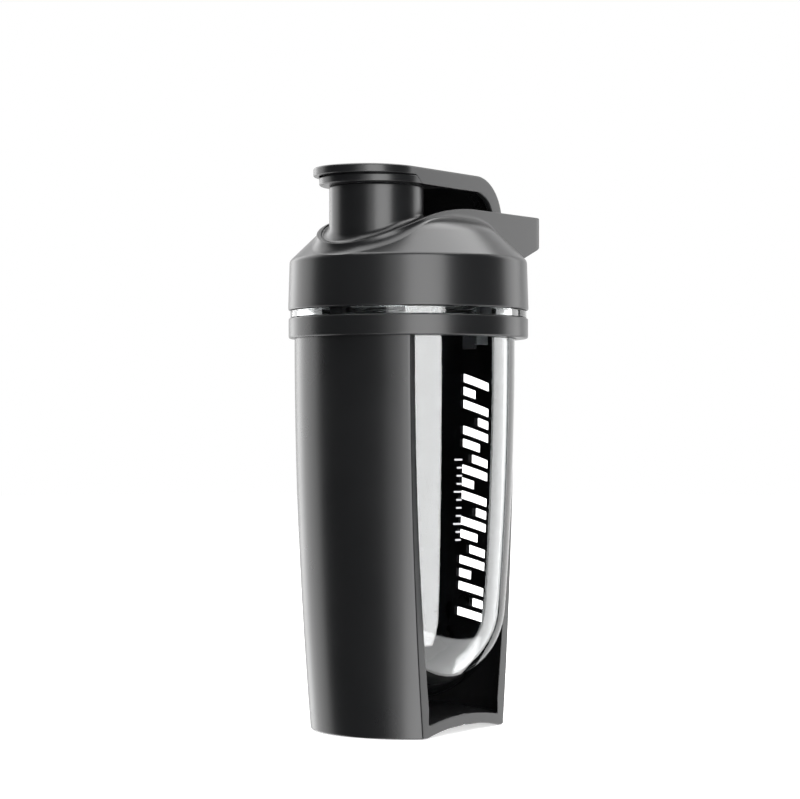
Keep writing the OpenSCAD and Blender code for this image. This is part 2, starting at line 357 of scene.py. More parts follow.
# Faces of a grid of rows by cols points; a wrapped way joins its last line to its first.
def gridFaces(rows, cols, wrapRows=False, wrapCols=False):
    i, j = np.meshgrid(
        np.arange(rows if wrapRows else rows - 1),
        np.arange(cols if wrapCols else cols - 1), indexing="ij")
    below, beside = (i + 1) % rows, (j + 1) % cols
    return np.stack([
        i * cols + j, i * cols + beside, below * cols + beside, below * cols + j],
        axis=-1).reshape(-1, 4)


# Points on an arc about (a, b) from one angle to another, in degrees.
def arc(a, b, radius, start, end, steps):
    t = np.radians(np.linspace(start, end, steps + 1))
    return np.column_stack([a + radius * np.cos(t), b + radius * np.sin(t)])


# A line of (a, b, fillet) corners with each corner bent into a curve tangent to both sides:
# (1-t)^2 P0 + 2t(1-t) P1 + t^2 P2, where P0 and P2 lie one cut away from the corner P1.
def rounded(corners, closed=True, steps=5):
    points = np.array([corner[:2] for corner in corners], float)
    t = np.linspace(0, 1, steps + 1)[:, None]
    out = []
    for k, corner in enumerate(corners):
        p = points[k]
        if corner[2] <= 0 or (not closed and k in (0, len(corners) - 1)):
            out.append(p[None])
            continue
        a = points[k - 1] - p
        b = points[(k + 1) % len(corners)] - p
        sideA, sideB = np.linalg.norm(a), np.linalg.norm(b)
        half = 0.5 * math.acos(float(np.clip(a @ b / sideA / sideB, -1, 1)))
        cut = min(corner[2] / math.tan(half), 0.48 * sideA, 0.48 * sideB)
        p0, p2 = p + a / sideA * cut, p + b / sideB * cut
        out.append((1 - t) ** 2 * p0 + 2 * t * (1 - t) * p + t ** 2 * p2)
    return np.concatenate(out)


# A section of (radius, height) carried round a vertical axis at (x, 0): the point at angle v
# is (x + r cos v, r sin v, z). A closed section makes a ring.
def revolve(section, cols=160, x=0.0, closed=True):
    v = np.linspace(0, 2 * np.pi, cols, endpoint=False)
    r, z = section[:, :1], section[:, 1:]
    points = np.stack([x + r * np.cos(v), r * np.sin(v), z + 0 * v], axis=-1)
    return points.reshape(-1, 3), gridFaces(len(section), cols, closed, True)


# the screw thread, shared by the cup and the lid
thread = {
    "lead": 6.0,             # rise in one turn
    "depth": 1.4,
    "root": 2.4,             # width of the ridge at its root, and at its crest
    "crest": 1.1,
    "up": 4.2,               # from the flange to the start of the cup's ridge
    "cupEnd": 405,           # degrees
    "lidFrom": 60,
    "lidEnd": 360,
    "step": 4.5,             # degrees between sections
    "fade": 36.0,            # degrees over which an end grows to full depth
    "least": 0.12,           # depth of the very end, as a part of the whole
}


# One ridge of a screw thread: a four-cornered section carried up a helix
# z = z0 + lead * angle / 360, its crest faded in and out at the ends.
def threadRidge(root, crest, z0, start, end):
    d = thread
    angle = np.arange(start, end + 1, d["step"])
    fade = np.clip(np.minimum(angle - start, end - angle) / d["fade"], d["least"], 1.0)
    tip = root + (crest - root) * fade
    r = np.stack([root + 0 * tip, tip, tip, root + 0 * tip], axis=1)
    lift = np.array([-d["root"], -d["crest"], d["crest"], d["root"]]) / 2
    z = z0 + d["lead"] * angle[:, None] / 360 + lift
    a = np.radians(angle)[:, None]
    points = np.stack([r * np.cos(a), r * np.sin(a), z], axis=-1).reshape(-1, 3)
    last = len(points) - 4
    faces = np.concatenate([
        gridFaces(len(angle), 4, False, True),
        [[3, 2, 1, 0], [last, last + 1, last + 2, last + 3]]])
    return points, faces


# Puts surfaces, in millimetres, together into one piece that rides on a body.
def makePiece(name, surfaces, body, material, stands=(), bevel=0.0, sharp=50):
    points, faces, count = [], [], 0
    for surfacePoints, surfaceFaces in surfaces:
        points.append(surfacePoints)
        faces.append(surfaceFaces + count)
        count += len(surfacePoints)
    mesh = bpy.data.meshes.new(name)
    mesh.from_pydata((np.concatenate(points) * mm).tolist(), [], np.concatenate(faces).tolist())
    finishPiece(name, mesh, body, material, stands, bevel, sharp)


def finishPiece(name, mesh, body, material, stands=(), bevel=0.0, sharp=50):
    work = bmesh.new()
    work.from_mesh(mesh)
    bmesh.ops.remove_doubles(work, verts=work.verts, dist=0.000004)
    bmesh.ops.dissolve_degenerate(work, edges=work.edges, dist=0.000001)
    bmesh.ops.recalc_face_normals(work, faces=work.faces)
    work.to_mesh(mesh)
    work.free()
    mesh.shade_smooth()
    mesh.set_sharp_from_angle(angle=math.radians(sharp))
    piece = bpy.data.objects.new(name, mesh)
    bpy.context.scene.collection.objects.link(piece)
    mesh.materials.append(material)
    if bevel:
        edge = piece.modifiers.new("edge", "BEVEL")
        edge.width = bevel * mm
        edge.segments = 3
        edge.limit_method = "ANGLE"
        edge.angle_limit = math.radians(40)
        edge.use_clamp_overlap = False
        edge.harden_normals = False
    weights = piece.modifiers.new("normals", "WEIGHTED_NORMAL")
    weights.keep_sharp = True
    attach(piece, body)
    if stands:
        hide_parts(*stands)


sleeve = {
    "topR": 45.7,            # outer radius under the collar
    "taper": 6.5,            # how far it narrows towards the base
    "wallTop": 2.6,
    "wallBase": 4.2,
    "collarZ": 155.6,
    "height": 163.7,
    "collarR": 48.1,
    "window": 26.9,          # distance of the flat cut from the axis
    "ringR": 36.5,           # inner edge of the ring it stands on
    "rise": 5.7,
    "floor": 3.5,
    "floorR": 33.5,
    "floorFall": 0.0034,     # the floor's top drops by this times radius squared
    "tuck": 0.7,             # how far the wall runs up into the collar
    "footR": 0.8,            # rounding of the foot, which the wall leaves at footTop
    "footTop": 6.0,
    "cornerIn": (36.3, 4.6, 3.0),    # inside corner over the floor: radius, height, rounding
    "innerFrom": 11.0,       # the inner wall's own curve starts here
    "edge": 0.45,            # rounding of the cut edges
    "cols": 150,
    "rows": 30,
}


# Radius over height, both walls: top radius less a taper times ((Z - z) / Z) squared.
def sleeveOut(z):
    return sleeve["topR"] - sleeve["taper"] * ((sleeve["collarZ"] - z) / sleeve["collarZ"]) ** 2


def sleeveIn(z):
    thicker = sleeve["taper"] + sleeve["wallBase"] - sleeve["wallTop"]
    return (sleeve["topR"] - sleeve["wallTop"]
            - thicker * ((sleeve["collarZ"] - z) / sleeve["collarZ"]) ** 2)


# The sleeve's wall and floor. Every point of a section is carried round the axis from the cut
# plane on one side to the cut plane on the other, from acos(window / r) to its mirror angle;
# inside the cut's distance the way is a full turn. Flat strips join the two skins on the cut.
def sleeveSurface():
    s = sleeve
    wallR = sleeveOut(0)
    domeR = (s["ringR"] ** 2 + s["rise"] ** 2) / (2 * s["rise"])
    inDisc = np.linspace(0, s["window"], 9)
    underR = np.concatenate([inDisc, np.linspace(s["window"], s["ringR"], 6)[1:]])
    under = np.column_stack([underR, s["rise"] - domeR + np.sqrt(domeR ** 2 - underR ** 2)])
    foot = rounded([
        (s["ringR"], 0, 0), (wallR, 0, s["footR"]), (sleeveOut(s["footTop"]), s["footTop"], 0)],
        False, 5)[1:-1]
    tall = np.linspace(foot[-1, 1], s["collarZ"] + s["tuck"], s["rows"])[1:]
    outer = np.concatenate([under, foot, np.column_stack([sleeveOut(tall), tall])])
    topR = np.concatenate([inDisc, np.linspace(s["window"], s["floorR"], 6)[1:]])
    top = np.column_stack([topR, s["rise"] + s["floor"] - s["floorFall"] * topR ** 2])
    bend = rounded([
        (top[-1, 0], top[-1, 1], 0), s["cornerIn"], (sleeveIn(s["innerFrom"]), s["innerFrom"], 0)],
        False, 5)[1:-1]
    tallIn = np.linspace(bend[-1, 1], s["collarZ"] + s["tuck"], s["rows"])[1:]
    inner = np.concatenate([top, bend, np.column_stack([sleeveIn(tallIn), tallIn])])
    u = np.linspace(0, 1, s["cols"])

    def carried(section):
        r, z = section[:, :1], section[:, 1:]
        cut = np.arccos(np.clip(s["window"] / np.maximum(r, 1e-6), -1, 1))
        v = cut + (2 * np.pi - 2 * cut) * u
        return np.stack([-r * np.sin(v), -r * np.cos(v), z + 0 * v], axis=-1).reshape(-1, 3)

    rows, cols = len(outer), s["cols"]
    skin = gridFaces(rows, cols)
    shift = rows * cols
    k = np.arange(len(inDisc) - 1, rows - 1)
    strips = [np.stack([
        k * cols + c, (k + 1) * cols + c, shift + (k + 1) * cols + c, shift + k * cols + c],
        axis=-1) for c in (0, cols - 1)]
    j = np.arange(cols - 1)
    end = (rows - 1) * cols
    lip = np.stack([end + j, end + j + 1, shift + end + j + 1, shift + end + j], axis=-1)
    faces = np.concatenate([skin, skin + shift, *strips, lip])
    return np.concatenate([carried(outer), carried(inner)]), faces


def collarSurface():
    s = sleeve
    inner = sleeveIn(s["collarZ"])
    return revolve(rounded([
        (inner, s["collarZ"], 0.4), (s["collarR"], s["collarZ"], 1.0),
        (s["collarR"], s["height"], 0.7), (inner, s["height"], 0.3)]), 200)


makePiece("sleeveWall", [sleeveSurface()], "sleeve_body", plastic,
          ["sleeve"], sleeve["edge"], 60)
makePiece("collarRing", [collarSurface()], "sleeve_body", plastic)
print("sleeve made")

cup = {
    "topR": 42.8,
    "taper": 8.4,
    "wall": 2.0,
    "flangeR": 47.5,
    "flangeT": 3.1,
    "neckR": 42.6,
    "neckWall": 2.2,
    "neckH": 12.8,
    "neckStep": 3.0,         # height over which the bore widens from the neck to the wall
    "roundZ": 47.5,          # the round bottom starts here
    "bottomExtra": 0.2,      # the round bottom is this much thicker than the wall
}
flangeZ = sleeve["height"] + cup["flangeT"]
neckTop = flangeZ + cup["neckH"]


def cupOut(z):
    fall = np.clip((sleeve["collarZ"] - z) / sleeve["collarZ"], 0, None)
    return cup["topR"] - cup["taper"] * fall ** 2


roundAngle = math.degrees(math.atan(
    2 * cup["taper"] * (sleeve["collarZ"] - cup["roundZ"]) / sleeve["collarZ"] ** 2))
roundR = float(cupOut(cup["roundZ"])) / math.cos(math.radians(roundAngle))
roundC = cup["roundZ"] + roundR * math.sin(math.radians(roundAngle))


# The cup's closed section from the axis out and up, over the neck and back down inside.
def cupSurface():
    c = cup
    neckIn = c["neckR"] - c["neckWall"]
    height = sleeve["height"]
    tall = np.linspace(c["roundZ"], sleeve["collarZ"], 30)[1:]
    wallOut = np.column_stack([cupOut(tall), tall])
    upper = rounded([
        (c["topR"], sleeve["collarZ"], 0), (c["topR"], height, 0.5),
        (c["flangeR"], height, 0.5), (c["flangeR"], flangeZ, 0.5), (c["neckR"], flangeZ, 0.4),
        (c["neckR"], neckTop, 0.7), (neckIn, neckTop, 0.7), (neckIn, flangeZ - c["neckStep"], 2.0),
        (c["topR"] - c["wall"], sleeve["collarZ"] + c["neckStep"], 2.0),
        (c["topR"] - c["wall"], sleeve["collarZ"], 0)], False, 5)[1:]
    down = tall[::-1][1:]
    wallIn = np.column_stack([cupOut(down) - c["wall"], down])
    section = np.concatenate([
        arc(0, roundC, roundR, -90, -roundAngle, 30), wallOut, upper, wallIn,
        arc(0, roundC, roundR - c["wall"] - c["bottomExtra"], -roundAngle, -90, 30)])
    return revolve(section, 200, 0.0, False)


cupThread = threadRidge(
    cup["neckR"] - 0.3, cup["neckR"] + thread["depth"], flangeZ + thread["up"], 0, thread["cupEnd"])
makePiece("cupWall", [cupSurface(), cupThread], "cup_body", clear, ["cup"])

marks = {
    "place": -16.4,          # degrees from the window's middle, towards the spout
    "width": 12.6,
    "top": 139.0,
    "bottom": 41.0,
    "slant": 3.6,            # how far a bar falls over its width
    "bar": 3.1,
    "gap": 1.9,
    "tickPlace": -27.6,
    "tickWidth": 3.4,
    "tickTop": 108.0,
    "tickBottom": 71.0,
    "tickPitch": 3.1,
    "tickBar": 0.7,
    "longEvery": 4,          # one tick in so many is long
    "shortPart": 0.35,       # how far left of its middle a short one reaches
    "proud": 0.05,           # the ink stands out by this much
    "sink": 0.25,            # and its inner skin lies this deep in the wall
    "across": 9,             # points over a bar's width, and over its height
    "up": 4,
}


# One slanted bar of print on the cup's wall, a thin closed block bent round it: along the
# wall s runs from left to right, and the height is z - slant * s / width.
def printedBar(place, left, right, low, high, slant, width):
    across, up = marks["across"], marks["up"]
    s = np.linspace(left, right, across)[None, :]
    z = np.linspace(low, high, up)[:, None] - slant * s / width
    s = s + 0 * z
    skins = []
    for lift in (marks["proud"], -marks["sink"]):
        r = cupOut(z) + lift
        a = math.radians(place) + s / cupOut(z)
        skins.append(np.stack([r * np.sin(a), -r * np.cos(a), z], axis=-1))
    points = np.stack(skins).reshape(-1, 3)      # outer skin, then inner skin
    layer = across * up
    loop = np.concatenate([
        np.arange(across), across * np.arange(1, up) + across - 1,
        layer - across + np.arange(across - 2, -1, -1), across * np.arange(up - 2, 0, -1)])
    after = np.roll(loop, -1)
    skin = gridFaces(up, across)
    rim = np.stack([loop, after, after + layer, loop + layer], axis=-1)
    return points, np.concatenate([skin, skin + layer, rim])


# Long and half-width bars in turn, down the column.
def barColumn():
    m = marks
    half = m["width"] / 2
    pattern = [(-1, 1), (-1, -0.12), (-1, 1), (0.12, 1), (-1, 1), (-1, 0.3), (-0.3, 1)]
    step = m["bar"] + m["gap"]
    count = int((m["top"] - m["bottom"]) // step)
    bars = []
    for k in range(count):
        a, b = pattern[k % len(pattern)]
        high = m["top"] - k * step
        bars.append(printedBar(m["place"], a * half, b * half, high - m["bar"], high,
                               m["slant"], m["width"]))
    return bars


def tickColumn():
    m = marks
    half = m["tickWidth"] / 2
    count = int((m["tickTop"] - m["tickBottom"]) // m["tickPitch"])
    ticks = []
    for k in range(count):
        high = m["tickTop"] - k * m["tickPitch"]
        left = -half if k % m["longEvery"] == 0 else -half * m["shortPart"]
        ticks.append(printedBar(m["tickPlace"], left, half, high - m["tickBar"], high, 0.0, 1.0))
    return ticks


makePiece("printedBars", barColumn(), "cup_body", ink, sharp=30)
makePiece("printedTicks", tickColumn(), "cup_body", greyInk, sharp=30)
print("cup made")

lid = {
    "r": 48.3,
    "lean": 0.6,             # the skirt leans in by this much
    "slope": 44.0,           # of the shoulder, in degrees
    "bendR": 20.0,           # bend from the shoulder to the crown
    "flatR": 23.5,
    "crownZ": 202.2,
    "t": 2.2,
    "cornerR": 2.6,
    "spoutX": -22.0,
    "spoutR": 18.6,
    "boreR": 16.6,
    "spoutZ": 214.8,
    "spoutFoot": 1.7,        # size of the fillet round its foot
    "spoutSink": 3.4,        # how far its wall runs down through the crown
    "holeR": 17.6,           # of the hole in the crown, hidden in the spout's wall
    "holeFrom": 188.0,
    "holeTo": 210.0,
    "gap": 0.8,              # between the cup's thread and the lid's inner wall
    "lift": 0.05,            # between the skirt's edge and the flange
    "ledgeW": 1.6,           # the ledge that the gasket lies under
    "gasketT": 2.0,
    "gasketReach": 2.4,      # from the neck's outer radius inwards
    "gasketGap": 0.6,
    "lipH": 6.0,             # the spout's rim is worked out over this height
    "clipR": 38.8,
    "clipWall": 1.6,
    "clipTop": 193.2,
    "clipDrop": 4.0,         # the ring ends this far under the cup's rim
}
overlap = 0.03               # a foot sinks this far into what it stands on
boreR = cup["neckR"] + thread["depth"] + lid["gap"]
slopeT = math.tan(math.radians(lid["slope"]))
bendFootR = lid["flatR"] + lid["bendR"] * math.sin(math.radians(lid["slope"]))
bendFootZ = lid["crownZ"] - lid["bendR"] * (1 - math.cos(math.radians(lid["slope"])))


# Height of the crown and shoulder over a radius: level, then a circle's fall, then a slope.
def crownHeight(r):
    turn = np.clip(r - lid["flatR"], 0, bendFootR - lid["flatR"])
    level = lid["crownZ"] - lid["bendR"] + np.sqrt(lid["bendR"] ** 2 - turn ** 2)
    slope = bendFootZ - (r - bendFootR) * slopeT
    return np.where(r > bendFootR, slope, level)


def lidSection():
    d = lid
    ledge = neckTop + d["gasketT"]
    edgeR = d["r"] - d["lean"]
    edgeZ = float(crownHeight(np.array(edgeR)))
    roomR = boreR - d["ledgeW"]
    skirtZ = flangeZ + d["lift"]
    drop = d["t"] / math.cos(math.radians(d["slope"]))
    over = np.linspace(0, bendFootR, 26)
    outer = np.column_stack([over, crownHeight(over)])
    rim = rounded([
        (bendFootR, bendFootZ, 0), (edgeR, edgeZ, d["cornerR"]), (d["r"], skirtZ, 0.9),
        (boreR, skirtZ, 0.5), (boreR, ledge, 0.3), (roomR, ledge, 0.3),
        (roomR, float(crownHeight(np.array(roomR))) - drop, 1.0),
        (bendFootR, bendFootZ - drop, 0)], False, 7)[1:-1]
    under = over[::-1]
    depth = np.interp(under, [d["flatR"], bendFootR], [d["t"], drop])
    inner = np.column_stack([under, crownHeight(under) - depth])
    return np.concatenate([outer, rim, inner])


# Takes one piece of mesh out of another.
def cutAway(surface, cutter):
    objects = []
    for name, (points, faces) in (("base", surface), ("cutter", cutter)):
        mesh = bpy.data.meshes.new(name)
        mesh.from_pydata((points * mm).tolist(), [], faces.tolist())
        work = bmesh.new()
        work.from_mesh(mesh)
        bmesh.ops.remove_doubles(work, verts=work.verts, dist=0.000004)
        bmesh.ops.recalc_face_normals(work, faces=work.faces)
        work.to_mesh(mesh)
        work.free()
        thing = bpy.data.objects.new(name, mesh)
        bpy.context.scene.collection.objects.link(thing)
        objects.append(thing)
    base, tool = objects
    cut = base.modifiers.new("cut", "BOOLEAN")
    cut.object = tool
    cut.operation = "DIFFERENCE"
    cut.solver = "EXACT"
    graph = bpy.context.evaluated_depsgraph_get()
    mesh = bpy.data.meshes.new_from_object(base.evaluated_get(graph))
    for thing in objects:
        bpy.data.objects.remove(thing)
    return mesh


holeSection = np.array([
    [0.0, lid["holeFrom"]], [lid["holeR"], lid["holeFrom"]], [lid["holeR"], lid["holeTo"]],
    [0.0, lid["holeTo"]]])
boreTool = revolve(holeSection, 96, lid["spoutX"], False)
finishPiece("lidShell", cutAway(revolve(lidSection(), 200, 0.0, False), boreTool),
            "lid_body", plastic, ["lid"])


# A fillet between a wall and the ground under it. For a size f the point at angle t is
# f (1 - sin t) out from the wall and |f| (1 - cos t) up; a negative size rounds the edge in.
def footCurve(size, steps):
    t = np.radians(np.linspace(0, 90, steps + 1))
    return size[:, None] * (1 - np.sin(t)), np.abs(size)[:, None] * (1 - np.cos(t))


# The spout: a tube whose outer foot flares onto the crown. Each column is one angle round
# the tube; heights on the foot are the crown's own height under that point.
def spoutSurface():
    d = lid
    cols = 160
    v = np.linspace(0, 2 * np.pi, cols, endpoint=False)
    out, up = footCurve(np.full(cols, d["spoutFoot"]), 7)
    r = d["spoutR"] + out

    def ground(radius):
        x = d["spoutX"] + radius * np.cos(v)[:, None]
        y = radius * np.sin(v)[:, None]
        return crownHeight(np.hypot(x, y))

    footZ = ground(r) + up - overlap
    wall = np.full((cols, 1), d["spoutR"])
    bore = np.full((cols, 1), d["boreR"])
    thick, tall = d["spoutR"] - d["boreR"], d["lipH"]
    lip = rounded([
        (0, 0, 0), (0, tall, 0.7), (-thick, tall, 0.7), (-thick, 0, 0)], False, 4)[1:-1]
    lipR = d["spoutR"] + np.tile(lip[:, 0], (cols, 1))
    lipZ = d["spoutZ"] - tall + np.tile(lip[:, 1], (cols, 1))
    low = ground(wall) - d["spoutSink"]
    lowBore = ground(bore) - d["spoutSink"]
    radii = np.concatenate([wall, r, lipR, bore], axis=1)
    heights = np.concatenate([low, footZ, lipZ, lowBore], axis=1)
    points = np.stack([
        d["spoutX"] + radii * np.cos(v)[:, None], radii * np.sin(v)[:, None], heights], axis=-1)
    return points.reshape(-1, 3), gridFaces(cols, radii.shape[1], True, True)


makePiece("spout", [spoutSurface()], "lid_body", plastic)

saddle = {
    "w": 23.6,               # half width, and radius of the round front
    "t": 1.9,
    "rimZ": 207.5,
    "fallR": 122.0,
    "fallX": 15.0,
    "endX": 65.6,
    "corner": 5.5,
    "lowX": 41.0,            # the loop's underside starts here and rises outwards
    "lowZ": 186.3,
    "lowEnd": 195.9,
    "foot": 3.0,             # fillet on the shoulder, outside and inside
    "footIn": 1.2,
    "round": 0.45,
    "fade": 1.6,             # height over which the foot's fillet fades out
    "sink": 1.2,
    "rimH": 3.0,             # the rim is worked out over this height
    "rimEdge": 0.55,
    "step": 1.3,             # between sections along the path
}


# A closed path with a round front at -X and rounded corners at its far end, walked
# anticlockwise, with its outward direction at every point.
def tonguePath(w, back, end, corner, step):
    def straight(a, b):
        count = max(2, int(np.hypot(*(np.array(b) - a)) / step))
        t = np.linspace(0, 1, count, endpoint=False)[1:, None]
        return np.array(a) * (1 - t) + np.array(b) * t

    def bend(x, y, radius, start, stop):
        count = max(8, int(radius * math.radians(stop - start) / step))
        return arc(x, y, radius, start, stop, count)

    front = bend(back, 0, w, 90, 270)
    right = straight((back, -w), (end - corner, -w))
    cornerA = bend(end - corner, corner - w, corner, -90, 0)
    across = straight((end, corner - w), (end, w - corner))
    cornerB = bend(end - corner, w - corner, corner, 0, 90)
    left = straight((end - corner, w), (back, w))
    path = np.concatenate([front, right, cornerA, across, cornerB, left])
    ahead = np.roll(path, -1, axis=0) - np.roll(path, 1, axis=0)
    ahead /= np.linalg.norm(ahead, axis=1)[:, None]
    return path, np.column_stack([ahead[:, 1], -ahead[:, 0]])


# The saddle wall and carry loop: one closed section carried round the path. Its rim is level,
# then falls on a circle; its foot is filleted onto the crown, and where the path leaves the
# lid the foot turns into a rounded lower edge on a straight line that rises outwards.
def saddleSurface():
    d = saddle
    path, normal = tonguePath(d["w"], lid["spoutX"], d["endX"], d["corner"], d["step"])
    x = path[:, 0]

    def line(px):
        return d["lowZ"] + (px - d["lowX"]) * (d["lowEnd"] - d["lowZ"]) / (d["endX"] - d["lowX"])

    def ground(offset):
        p = path[:, None, :] + normal[:, None, :] * offset[..., None]
        crown = crownHeight(np.hypot(p[..., 0], p[..., 1]))
        return np.maximum(crown, line(p[..., 0])), crown - line(p[..., 0])

    zero = np.zeros((len(path), 1))
    over = ground(zero)[1][:, 0]
    onLid = np.clip(over / d["fade"], 0, 1)
    onLid = onLid ** 2 * (3 - 2 * onLid)
    fall = np.sqrt(d["fallR"] ** 2 - np.maximum(d["fallX"] - x, 0) ** 2)
    top = (d["rimZ"] - d["fallR"] + fall)[:, None]
    outSize = -d["round"] + (d["foot"] + d["round"]) * onLid
    inSize = -d["round"] + (d["footIn"] + d["round"]) * onLid
    room = top[:, 0] - ground(zero)[0][:, 0]
    outSize = np.minimum(outSize, 0.75 * room)
    outO, outZ = footCurve(outSize, 7)
    inO, inZ = footCurve(inSize, 5)
    rim = rounded([
        (0, 0, 0), (0, d["rimH"], d["rimEdge"]), (-d["t"], d["rimH"], d["rimEdge"]),
        (-d["t"], 0, 0)], False, 4)[1:-1]
    rimO = np.tile(rim[:, 0], (len(path), 1))
    rimZ = top - d["rimH"] + rim[:, 1]
    sink = (d["sink"] * onLid)[:, None]
    innerO = -d["t"] - inO[:, ::-1]
    closeO = np.concatenate([zero - d["t"] + 0.3, zero - 0.3], axis=1)
    offset = np.concatenate([outO, rimO, innerO, closeO], axis=1)
    height = np.concatenate([
        ground(outO)[0] + outZ - overlap, rimZ, ground(innerO)[0] + inZ[:, ::-1] - overlap,
        ground(closeO)[0] - sink - overlap], axis=1)
    p = path[:, None, :] + normal[:, None, :] * offset[..., None]
    points = np.concatenate([p, height[..., None]], axis=-1).reshape(-1, 3)
    return points, gridFaces(len(path), offset.shape[1], True, True)


makePiece("saddleLoop", [saddleSurface()], "lid_body", plastic)

lidThread = threadRidge(
    boreR + 0.4, boreR - thread["depth"], flangeZ + thread["up"] - thread["lead"] / 2,
    thread["lidFrom"], thread["lidEnd"])
clipIn = lid["clipR"] - lid["clipWall"]
clipFoot = neckTop - lid["clipDrop"]
clipRing = revolve(rounded([
    (lid["clipR"], clipFoot, 0.4), (lid["clipR"], lid["clipTop"], 0),
    (clipIn, lid["clipTop"] + 1, 0), (clipIn, clipFoot, 0.4)]))
makePiece("lidInside", [lidThread, clipRing], "lid_body", plastic)

gasketIn = cup["neckR"] - lid["gasketReach"]
gasketOut = boreR - lid["gasketGap"]
gasketTop = neckTop + lid["gasketT"]
gasket = revolve(rounded([
    (gasketIn, neckTop, 0.5), (gasketOut, neckTop, 0.5), (gasketOut, gasketTop, 0.5),
    (gasketIn, gasketTop, 0.5)]))
makePiece("lidGasket", [gasket], "gasket_body", silicone, ["lid_gasket"])
print("lid made")

cap = {
    "z": 215.0,
    "tier": 3.3,             # thickness of each tier
    "w": 21.2,
    "topFront": -28.0,       # centre of the upper tier's round front
    "lowFront": -24.3,
    "lowW": 21.15,
    "lowEnd": -2.6,
    "lowEdge": 0.7,
    "lowSink": 0.35,         # the lower tier runs this far up into the arm
    "seatR": 18.0,           # of the plug's seat
    "seatDepth": 2.4,
    "armFrom": -25.0,        # the arm's side starts to reach down here
    "armFull": -21.0,
    "bendX": 19.1,
    "bendR": 18.0,
    "bendAngle": 87.0,
    "bendT": 7.2,
    "deepen": 6.0,           # past the bend's start the arm reaches full depth over this
    "wall": 2.4,
    "edge": 0.8,
    "edgeUnder": 0.5,
    "spineStop": 9.0,        # the middle line ends this far before the arm's end
    "step": 1.2,             # between points along the outline
    "hingeX": 34.4,
    "hingeZ": 203.8,
    "barrelR": 3.2,
    "pinR": 1.5,
    "pinGap": 0.15,          # between the pin and its hole
    "pinTuck": 0.7,          # how far the pin runs into each saddle wall
    "barrelGap": 0.15,       # the barrel is this much shorter than the arm at each side
}
capTop = cap["z"] + 2 * cap["tier"]


# Lays a flat slab over the spout and bends its arm down to the hinge: a point at length s,
# side y and depth d stays level up to the bend and then turns about the bend's centre.
def bentDown(s, y, depth):
    turn = np.maximum(s - cap["bendX"], 0) / cap["bendR"]
    flat = np.minimum(s, cap["bendX"])
    reach = cap["bendR"] - depth
    x = flat + reach * np.sin(turn)
    z = capTop - cap["bendR"] + reach * np.cos(turn)
    return np.stack([x, y, z], axis=-1)


# The head's upper tier and the arm in one: rings of (inset, depth) round the outline, closed
# over the top and inside the hollow underside onto a line down the middle.
def armSurface():
    d = cap
    end = d["bendX"] + d["bendR"] * math.radians(d["bendAngle"])
    path, normal = tonguePath(d["w"], d["topFront"], end, 1.0, d["step"])
    s = path[:, 0]
    spine = np.column_stack([np.clip(s, d["topFront"], end - d["spineStop"]), 0 * s])
    deep = np.interp(s, [d["armFrom"], d["armFull"], d["bendX"], d["bendX"] + d["deepen"]],
                     [d["tier"], 2 * d["tier"], 2 * d["tier"], d["bendT"]])
    t = np.radians(np.linspace(0, 90, 6))
    e, f = d["edge"], d["edgeUnder"]

    def ring(inset, depth):
        p = path - normal * inset
        return bentDown(p[:, 0], p[:, 1], depth + 0 * s)

    def inner(part, inset, depth):
        p = spine + (path - normal * inset - spine) * part
        return bentDown(p[:, 0], p[:, 1], depth + 0 * s)

    rings = [inner(part, e, 0.0) for part in (0.0, 0.2, 0.4, 0.6, 0.8, 0.93)]
    rings += [ring(e * (1 - math.sin(a)), e * (1 - math.cos(a))) for a in t]
    rings += [ring(0, e + (deep - f - e) * part) for part in (0.35, 0.7)]
    rings += [ring(f * (1 - math.cos(a)), deep - f + f * math.sin(a)) for a in t]
    rings += [ring(d["wall"] - f * (1 - math.sin(a)), deep - f * (1 - math.cos(a))) for a in t]
    under = np.full(len(s), d["wall"])
    rings += [ring(d["wall"], under + (deep - f - under) * part) for part in (0.6, 0.2)]
    rings += [inner(part, d["wall"] + 0.4, under) for part in (1.0, 0.8, 0.6, 0.4, 0.2, 0.0)]
    return np.concatenate(rings), gridFaces(len(rings), len(s), False, True)


# The head's lower tier, with the round seat of the plug let into its underside.
def lowTierSurface():
    d = cap
    path, normal = tonguePath(d["lowW"], d["lowFront"], d["lowEnd"], 1.0, d["step"])
    top = d["z"] + d["tier"] + d["lowSink"]
    seatTop = d["z"] + d["seatDepth"]
    t = np.radians(np.linspace(0, 90, 6))
    seat = path - [lid["spoutX"], 0]
    seat = seat / np.linalg.norm(seat, axis=1)[:, None]

    def level(p, z):
        return np.column_stack([p, np.full(len(p), z)])

    def around(radius):
        return seat * radius + [lid["spoutX"], 0]

    e = d["lowEdge"]
    middle = 0.01                                # a tiny ring closes each face
    rings = [level(around(middle), top), level(around(9), top), level(path - normal * e, top)]
    rings += [level(path - normal * e * (1 - math.sin(a)),
                    top - d["lowSink"] - e * (1 - math.cos(a))) for a in t]
    rings += [level(path - normal * e * (1 - math.cos(a)), d["z"] + e - e * math.sin(a)) for a in t]
    rings += [level(around(d["seatR"] + 0.3), d["z"]), level(around(d["seatR"]), d["z"] + 0.3)]
    rings += [level(around(radius), seatTop) for radius in (d["seatR"], 9, middle)]
    return np.concatenate(rings), gridFaces(len(rings), len(path), False, True)


# A section of (radius, place) carried round the hinge's axis, which runs along Y.
def aroundHinge(section, cols=96, closed=True):
    v = np.linspace(0, 2 * np.pi, cols, endpoint=False)
    r, y = section[:, :1], section[:, 1:]
    points = np.stack([
        cap["hingeX"] + r * np.sin(v), y + 0 * v, cap["hingeZ"] + r * np.cos(v)], axis=-1)
    return points.reshape(-1, 3), gridFaces(len(section), cols, closed, True)


